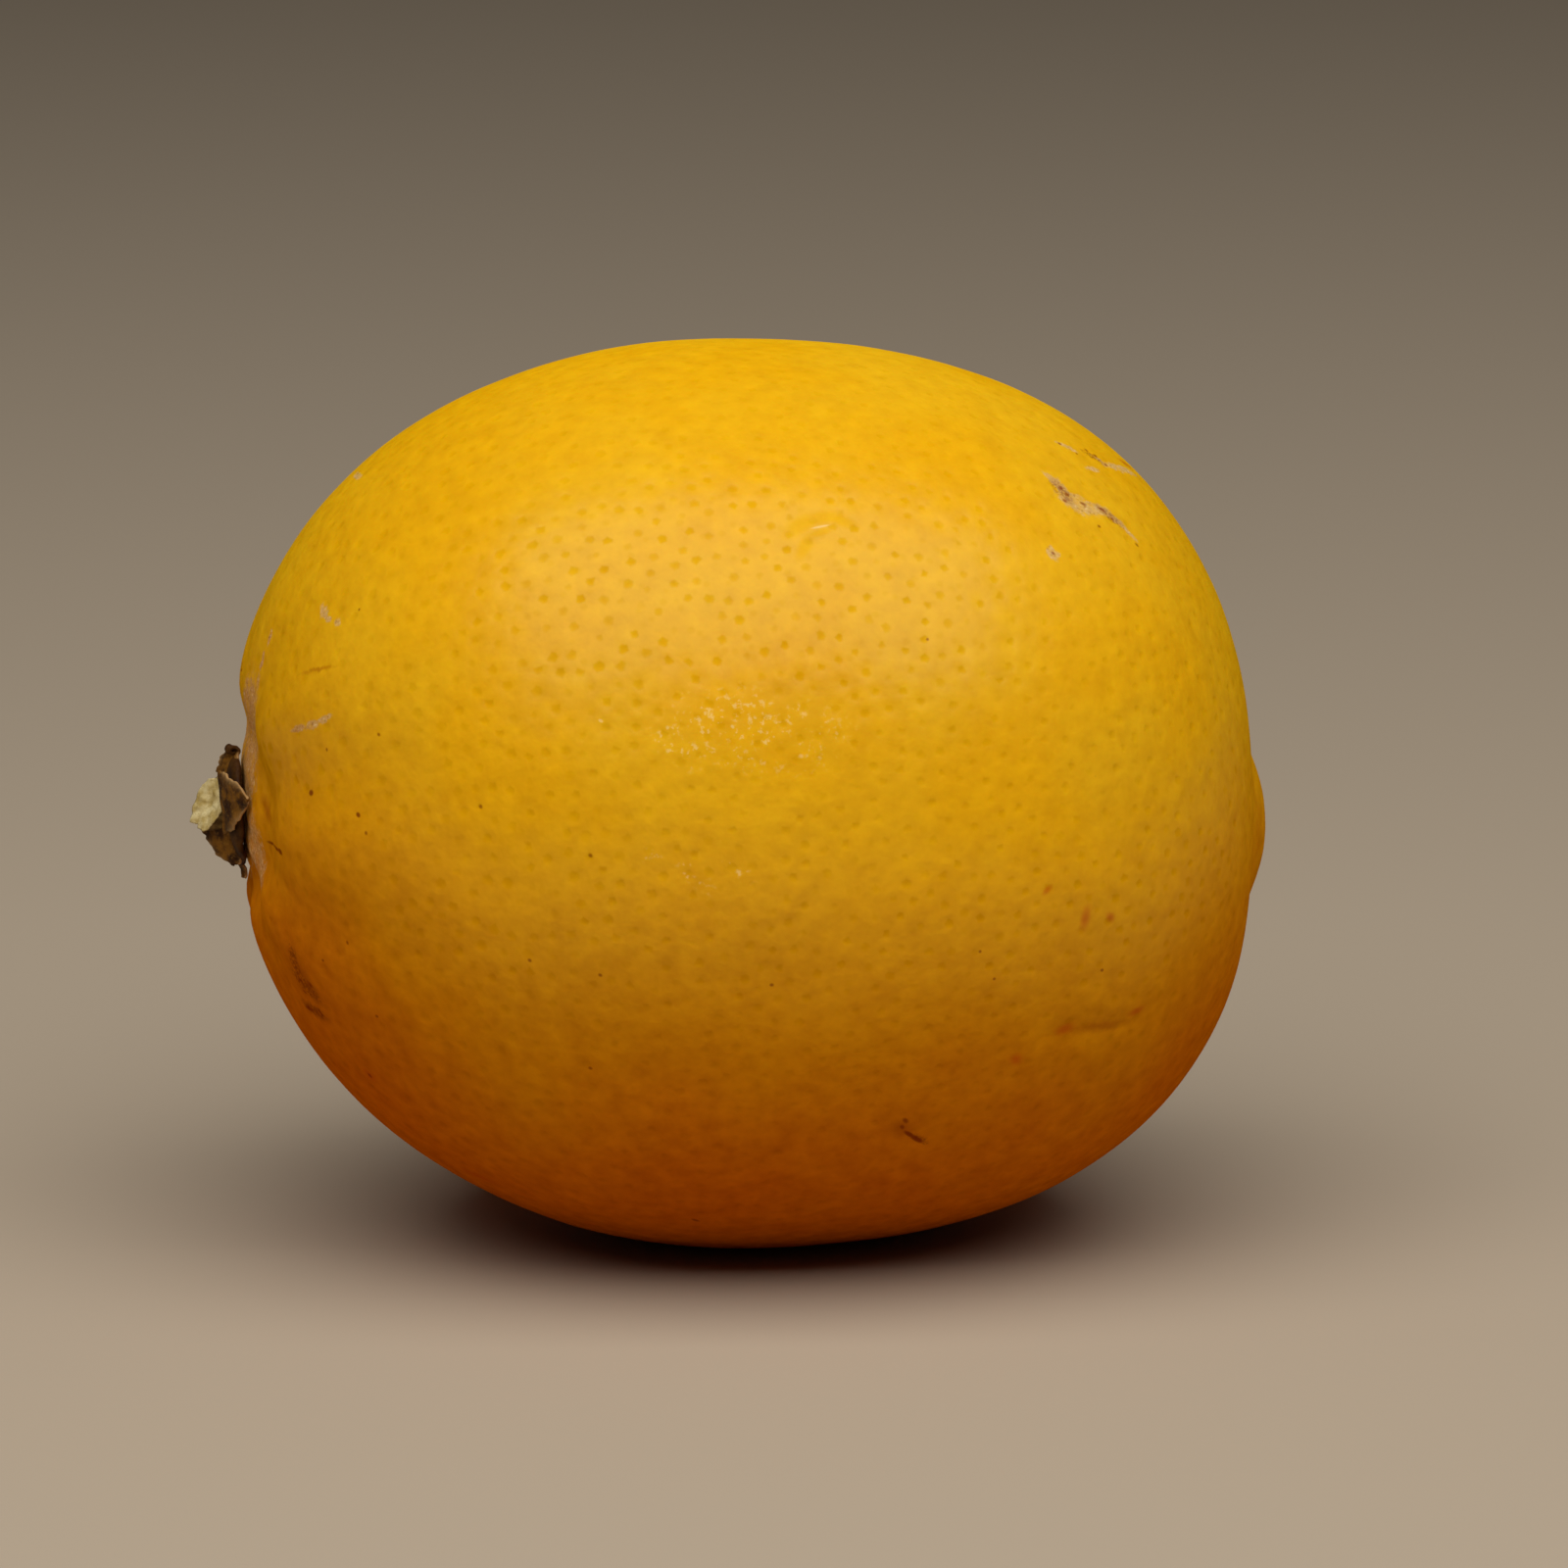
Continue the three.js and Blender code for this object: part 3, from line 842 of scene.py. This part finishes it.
# Dried lobes of the calyx: angle from the front towards the top, in degrees, and the rest are mm
SEPALS = [
    {"angle": 86, "root": 1.9, "length": 4.5, "width": 1.1, "lift": 0.7, "rise": 0.1, "curl": 0.1,
     "cup": 0.3, "tilt": 0.55, "rolled": 0.3},
    {"angle": 12, "root": 1.6, "length": 5.4, "width": 2.15, "lift": 1.25, "rise": 0.3, "curl": 0.05,
     "cup": -0.2, "tilt": 0.08, "rolled": 0},
    {"angle": -70, "root": 1.75, "length": 4.5, "width": 1.6, "lift": 1.25, "rise": 0.3, "curl": 0.7,
     "cup": 0.3, "tilt": -0.7, "rolled": 0},
    {"angle": -97, "root": 2.1, "length": 5.75, "width": 0.6, "lift": 0.7, "rise": 0.1, "curl": 0.5,
     "cup": 0.1, "tilt": -0.6, "rolled": 0},
    {"angle": 170, "root": 1.8, "length": 4.5, "width": 1.9, "lift": 1.0, "rise": 0.3, "curl": 1.1,
     "cup": 0.4, "tilt": 0.1, "rolled": 0.2},
]
SEPAL_WALL = 0.2 * MM
SEPAL_CLEARANCE = 0.12 * MM
SEPAL_GRID = (56, 24)
SEPAL_TAPER = {"along": 1.7, "across": 0.75}
SEPAL_TIP = 0.1
SEPAL_TEETH = {"deep": (0.07, 17), "shallow": (0.04, 41)}
SEPAL_CRINKLE = {"height": 0.09, "along": 9, "across": 4}
SEPAL_VEINS = {"height": 0.03, "across": 9}
SEPAL_WRINKLES = {"height": 0.02, "along": 31, "across": 6}
PALE_EDGE = {"sharpness": 8, "start": (0.05, 0.4)}

# A rolled tip: the share of the length where it begins, its turns, and how it draws together
KNOB_FROM = 0.6
KNOB_TO = 0.75
ROLL_FROM = 0.7
ROLL_ANGLE = 1.9 * math.pi
ROLL_LENGTH = 0.35
ROLL_NARROWING = 0.45
ROLL_FULLNESS = 0.3


WELD = 0.002 * MM


def lathed(name, profile, steps):
    """A closed turned form about Z from a profile of (radius, height)."""
    points = [(radius, 0, height) for radius, height in profile]
    edges = [(index, index + 1) for index in range(len(points) - 1)]
    piece = new_piece(name, points, edges)
    bpy.ops.object.mode_set(mode="EDIT")
    bpy.ops.mesh.select_all(action="SELECT")
    bpy.ops.mesh.spin(steps=steps, angle=2 * math.pi, center=(0, 0, 0), axis=(0, 0, 1))
    bpy.ops.mesh.select_all(action="SELECT")
    bpy.ops.mesh.remove_doubles(threshold=WELD)
    bpy.ops.mesh.normals_make_consistent(inside=False)
    bpy.ops.object.mode_set(mode="OBJECT")
    return piece


def rounded_profile(points, steps):
    """A smooth curve through the points of a profile."""
    points = np.array(points)
    padded = np.concatenate([points[:1], points, points[-1:]])
    curve = []
    for a, b, c, d in zip(padded, padded[1:], padded[2:], padded[3:]):
        for share in np.arange(steps) / steps:
            curve.append(0.5 * (
                2 * b
                + (c - a) * share
                + (2 * a - 5 * b + 4 * c - d) * share**2
                + (3 * b - a - 3 * c + d) * share**3
            ))
    curve.append(points[-1])
    return [(max(radius, 0), height) for radius, height in curve]


BUTTON_HOLE = 1.9
BUTTON_LOPSIDED = 0.45
BUTTON_FULL_SIDE = math.radians(-50)
BUTTON_OVALNESS = 0.08
BUTTON_SIDES = 96
BUTTON_RIDGES = {"height": 0.08, "count": 7, "wander": 0.8, "swings": 3}
BUTTON_CREASES = {"height": 0.05, "count": 23, "wander": 3, "swings": 2}
BUTTON_CREASED = (0.2, 0.6)
BUTTON_PROFILE = [
    (BUTTON_HOLE, 0.02), (2.6, 0.02), (3.3, 0.03), (3.55, 0.2), (3.5, 0.45),
    (3.15, 0.65), (2.7, 0.75), (2.2, 0.85), (BUTTON_HOLE, 0.85), (BUTTON_HOLE, 0.02),
]
PROFILE_STEPS = 4


def wave(turn, height, count, wander, swings):
    """A wave round an axis whose crests stand at uneven distances."""
    return height * np.sin(count * turn + wander * np.sin(swings * turn))


def calyx_button(finish):
    """The ring round the foot of the stem, wider on one side."""
    profile = [(radius * MM, height * MM) for radius, height in BUTTON_PROFILE]
    button = lathed("calyx_button", rounded_profile(profile, PROFILE_STEPS), BUTTON_SIDES)
    places = places_of(button)
    turn = np.arctan2(places[:, 1], places[:, 0])
    radius = np.hypot(places[:, 0], places[:, 1])
    creased = smooth(*BUTTON_CREASED, places[:, 2] / MM)
    wider = 1 + BUTTON_LOPSIDED * np.cos(turn - BUTTON_FULL_SIDE)
    wider = wider + wave(turn, **BUTTON_RIDGES)
    wider = wider + wave(turn, **BUTTON_CREASES) * creased
    out = BUTTON_HOLE * MM + (radius - BUTTON_HOLE * MM) * wider
    move_to(button, over_peel(
        out * np.cos(turn) * (1 - BUTTON_OVALNESS),
        out * np.sin(turn) * (1 + BUTTON_OVALNESS),
        places[:, 2],
    ))
    # Painted shade: the whole button is darkened, as it lies in shade under the lobes
    save_values(button, "painted_shade", np.ones(len(places)))
    finish_piece(button, finish, "calyx", "calyx")


def teeth(s, number, depth, count, shift):
    return depth * np.sin(count * s + shift * number)


def sepal(number, finish, angle, root, length, width, lift, rise, curl, cup, tilt, rolled):
    """One dried lobe: broad at its root, drawn out to a point, hollowed across and curled along."""
    bpy.ops.object.select_all(action="DESELECT")
    columns, rows = SEPAL_GRID
    bpy.ops.mesh.primitive_grid_add(x_subdivisions=columns, y_subdivisions=rows, size=2)
    lobe = bpy.context.object
    lobe.name = f"sepal_{number}"
    places = places_of(lobe)
    s = (places[:, 0] + 1) / 2
    side = places[:, 1]

    taper = (1 - s ** SEPAL_TAPER["along"]) ** SEPAL_TAPER["across"]
    across = side * width * taper + SEPAL_TIP * side
    ragged = teeth(s, number, *SEPAL_TEETH["deep"], 1) + teeth(s, number, *SEPAL_TEETH["shallow"], 2)
    across = across + ragged * side * np.abs(side) ** 3
    out = root + s * (length - root)
    hollow = cup * (across / width) ** 2 * s
    crinkle = np.sin(SEPAL_CRINKLE["along"] * s + SEPAL_CRINKLE["across"] * side)
    crinkle = SEPAL_CRINKLE["height"] * crinkle * s
    veins = SEPAL_VEINS["height"] * np.cos(SEPAL_VEINS["across"] * side)
    wrinkles = np.sin(SEPAL_WRINKLES["along"] * s + SEPAL_WRINKLES["across"] * side)
    veins = veins + SEPAL_WRINKLES["height"] * wrinkles
    along = lift * (1 - s) + rise * (1 - s) * s * 2 + curl * s**3
    height = np.maximum(along + hollow + tilt * across + crinkle, 0) + veins
    knob = smooth(KNOB_FROM, KNOB_TO, s) * (rolled > 0)
    if rolled:
        wound = smooth(ROLL_FROM, 1, s) * ROLL_ANGLE
        end = root + ROLL_FROM * (length - root)
        out = np.where(s > ROLL_FROM, end + rolled * np.sin(wound) + (out - end) * ROLL_LENGTH, out)
        height = height + rolled * (1 - np.cos(wound)) * (s > ROLL_FROM)
        across = across * (1 - ROLL_NARROWING * knob) + ROLL_FULLNESS * rolled * side

    turn = math.radians(angle)
    front = out * math.cos(turn) - across * math.sin(turn)
    up = out * math.sin(turn) + across * math.cos(turn)
    move_to(lobe, over_peel(front * MM, up * MM, SEPAL_CLEARANCE + height * MM))
    edge = np.abs(side) ** PALE_EDGE["sharpness"] * smooth(*PALE_EDGE["start"], s) * (1 - knob)
    save_values(lobe, "edge", edge)
    # Painted shade on the rolled knob of a lobe
    save_values(lobe, "painted_shade", knob)

    bpy.context.view_layer.objects.active = lobe
    wall = lobe.modifiers.new("wall", "SOLIDIFY")
    wall.thickness = SEPAL_WALL
    wall.offset = 0
    soft = lobe.modifiers.new("soft", "SUBSURF")
    soft.levels = soft.render_levels = 1
    for modifier in ("wall", "soft"):
        bpy.ops.object.modifier_apply(modifier=modifier)
    bpy.ops.object.mode_set(mode="EDIT")
    bpy.ops.mesh.select_all(action="SELECT")
    bpy.ops.mesh.normals_make_consistent(inside=False)
    bpy.ops.object.mode_set(mode="OBJECT")
    finish_piece(lobe, finish, "calyx", "calyx")


STEM_RADIUS = 1.75 * MM
STEM_OVALNESS = 0.1
STEM_WAIST = 0.05
STEM_HEIGHT = 2.12 * MM
STEM_FOOT = 0.03 * MM
STEM_SIDES = 88
STEM_RINGS = 14
CUT_RINGS = 16
CUT_RIM = 0.95
CUT_SLANT = {"front": 0.57, "up": 0.4}
PITH_DEPTH = 0.25 * MM
SPLINTER_SIZE = 0.5 * MM
SPLINTER_HEIGHT = 0.14 * MM
SPLIT_DEPTH = 0.3 * MM
SPLIT_WIDTH = 0.14 * MM
SPLIT_FRONT = -0.5 * MM
SPLIT_WANDER = 0.1 * MM

# Ribs of the bark: how many, how high as a share of the radius, their offset, and how they wind
BARK_RIBS = [(5, 0.05, 1, 0), (11, 0.03, 0, 2), (31, 0.012, 0, 3)]


def stem_stub(finish):
    """The short end of the stem, with a slanting, rough and split cut."""
    side = [(STEM_RADIUS, share) for share in np.linspace(0, 1, STEM_RINGS)]
    cut = [(STEM_RADIUS * share, 1) for share in np.linspace(CUT_RIM, 0, CUT_RINGS)]
    stub = lathed("stem", [(0, 0), *side, *cut], STEM_SIDES)
    places = places_of(stub)
    turn = np.arctan2(places[:, 1], places[:, 0])
    radius = np.hypot(places[:, 0], places[:, 1])
    share = places[:, 2]
    bark = np.ones(len(places))
    for count, swell, offset, winding in BARK_RIBS:
        bark = bark + swell * np.sin(count * turn + offset + winding * share)
    waist = 1 - STEM_WAIST * share * (1 - share) * 4
    front = places[:, 0] * bark * waist * (1 - STEM_OVALNESS)
    up = places[:, 1] * bark * waist * (1 + STEM_OVALNESS)

    on_cut = np.isclose(share, 1).astype(float)
    drop = CUT_SLANT["front"] * front + CUT_SLANT["up"] * up
    pith = PITH_DEPTH * bell(radius, STEM_RADIUS / 2)
    rough = np.array([noise.noise(Vector((a, b, 0)) / SPLINTER_SIZE) for a, b in zip(front, up)])
    from_split = front - SPLIT_FRONT - SPLIT_WANDER * np.sin(up / MM)
    split = SPLIT_DEPTH * bell(from_split, SPLIT_WIDTH) * on_cut
    height = share * (STEM_HEIGHT - drop - pith + SPLINTER_HEIGHT * rough * on_cut) - split
    move_to(stub, over_peel(front, up, STEM_FOOT + height))
    save_values(stub, "cut", on_cut)
    finish_piece(stub, finish, "stem_wood", "stem_stub")


# Colours of the dried calyx and of the stem
CALYX_BROWN = (0.035, 0.011, 0.002, 1)
CALYX_OLIVE = (0.2, 0.082, 0.008, 1)
CALYX_STREAK = (0.32, 0.16, 0.025, 1)
# Painted shade: the colour that darkens the button and the rolled knobs
CALYX_PAINTED_SHADE = (0.03, 0.009, 0.002, 1)
CALYX_EDGE = (0.55, 0.34, 0.14, 1)
DARK_WOOD = (0.46, 0.33, 0.10, 1)
PALE_WOOD = (0.74, 0.62, 0.32, 1)
WOOD_FIBRE = (0.22, 0.13, 0.03, 1)
DARK_BARK = (0.08, 0.04, 0.008, 1)
PALE_BARK = (0.25, 0.15, 0.04, 1)

# Patterns of the dried calyx: size, where each begins and is full, and how strongly it covers
CALYX_PATCHES = 1.3 * MM
CALYX_STREAKS = 0.22 * MM
OLIVE_RIM = (0.38, 0.62)
STREAK_RIM = (0.5, 0.75)
STREAK_COVER = 0.4
PAINTED_SHADE_COVER = 0.75
EDGE_COVER = 0.8
CALYX_ROUGHNESS = (0.5, 0.3)

# Patterns of the stem, in the same way
STEM_PATCHES = 1.1 * MM
STEM_FIBRES = 0.16 * MM
WOOD_RIM = (0.35, 0.65)
FIBRE_RIM = (0.58, 0.75)
FIBRE_COVER = 0.55
CUT_RAGGEDNESS = 0.7
FIBRE_HEIGHT = 0.05 * MM


def calyx_finish():
    finish = Finish("dried_calyx", Roughness=0.65, Specular_IOR_Level=0.12)
    patches = finish.noise(CALYX_PATCHES, detail=4)
    streaks = finish.noise(CALYX_STREAKS, detail=3)
    edge = finish.attribute("edge")
    painted_shade = finish.attribute("painted_shade")
    colour = finish.blend(patches.step(*OLIVE_RIM), CALYX_BROWN, CALYX_OLIVE)
    colour = finish.blend(streaks.step(*STREAK_RIM) * STREAK_COVER, colour, CALYX_STREAK)
    # Painted shade: darkens the button and the rolled knobs
    colour = finish.blend(painted_shade * PAINTED_SHADE_COVER, colour, CALYX_PAINTED_SHADE)
    colour = finish.blend(edge * EDGE_COVER, colour, CALYX_EDGE)
    least_rough, patchy = CALYX_ROUGHNESS
    finish.set("Base Color", colour)
    finish.set("Roughness", least_rough + patchy * patches)
    finish.set("Normal", finish.bump(streaks, FIBRE_HEIGHT))
    return finish


def stem_finish():
    finish = Finish("stem_wood", Roughness=0.75, Specular_IOR_Level=0.25)
    cut = finish.attribute("cut")
    patches = finish.noise(STEM_PATCHES, detail=4)
    fibres = finish.noise(STEM_FIBRES, detail=3)
    wood = finish.blend(patches.step(*WOOD_RIM), DARK_WOOD, PALE_WOOD)
    wood = finish.blend(fibres.step(*FIBRE_RIM) * FIBRE_COVER, wood, WOOD_FIBRE)
    bark = finish.blend(patches.step(*WOOD_RIM), DARK_BARK, PALE_BARK)
    colour = finish.blend((cut + (patches - 0.5) * CUT_RAGGEDNESS).step(*WOOD_RIM), bark, wood)
    finish.set("Base Color", colour)
    finish.set("Normal", finish.bump(fibres, FIBRE_HEIGHT))
    return finish


def set_camera():
    data = bpy.data.cameras.new("view")
    data.lens = LENS
    data.sensor_width = SENSOR
    data.clip_start, data.clip_end = VIEW_RANGE
    camera = bpy.data.objects.new("view", data)
    camera.location = EYE
    camera.rotation_euler = BACK.to_track_quat("Z", "Y").to_euler()
    bpy.context.scene.collection.objects.link(camera)
    bpy.context.scene.camera = camera


# Stage: a floor, a soft window to the front and above, and a faint light all round
FLOOR_SIZE = 8
FLOOR_COLOUR = (0.44, 0.365, 0.28, 1)
WINDOW_AZIMUTH = math.radians(-4)
WINDOW_ELEVATION = math.radians(62)
WINDOW_DISTANCE = 0.75
WINDOW_SIZE = (1.15, 0.8)
WINDOW_POWER = 9
WINDOW_COLOUR = (1, 0.97, 0.92)
ROOM_COLOUR = (1, 0.92, 0.8, 1)
ROOM_STRENGTH = 0.03


def set_window():
    """A large soft panel that faces the fruit."""
    back = way_to(WINDOW_AZIMUTH, WINDOW_ELEVATION)
    data = bpy.data.lights.new("window", "AREA")
    data.shape = "RECTANGLE"
    data.size, data.size_y = WINDOW_SIZE
    data.energy = WINDOW_POWER
    data.color = WINDOW_COLOUR
    lamp = bpy.data.objects.new("window", data)
    lamp.location = FRUIT_MIDDLE + back * WINDOW_DISTANCE
    lamp.rotation_euler = back.to_track_quat("Z", "Y").to_euler()
    bpy.context.scene.collection.objects.link(lamp)


def set_stage():
    bpy.ops.object.select_all(action="DESELECT")
    bpy.ops.mesh.primitive_plane_add(size=FLOOR_SIZE, location=(0, 0, 0))
    floor = bpy.context.object
    floor.name = "floor"
    finish = Finish("floor", Roughness=0.9, Specular_IOR_Level=0.1)
    finish.set("Base Color", FLOOR_COLOUR)
    floor.data.materials.append(finish.material)
    set_window()
    world = bpy.data.worlds.new("room")
    world.use_nodes = True
    background = world.node_tree.nodes["Background"]
    background.inputs["Color"].default_value = ROOM_COLOUR
    background.inputs["Strength"].default_value = ROOM_STRENGTH
    bpy.context.scene.world = world
    bpy.context.scene.view_settings.view_transform = "Standard"


set_camera()
fruit = fruit_mesh()
bpy.context.view_layer.update()
finish_piece(fruit, peel_finish(fruit), "peel", "fruit")
dried = calyx_finish()
calyx_button(dried)
for number, values in enumerate(SEPALS, start=1):
    sepal(number, dried, **values)
stem_stub(stem_finish())
set_stage()
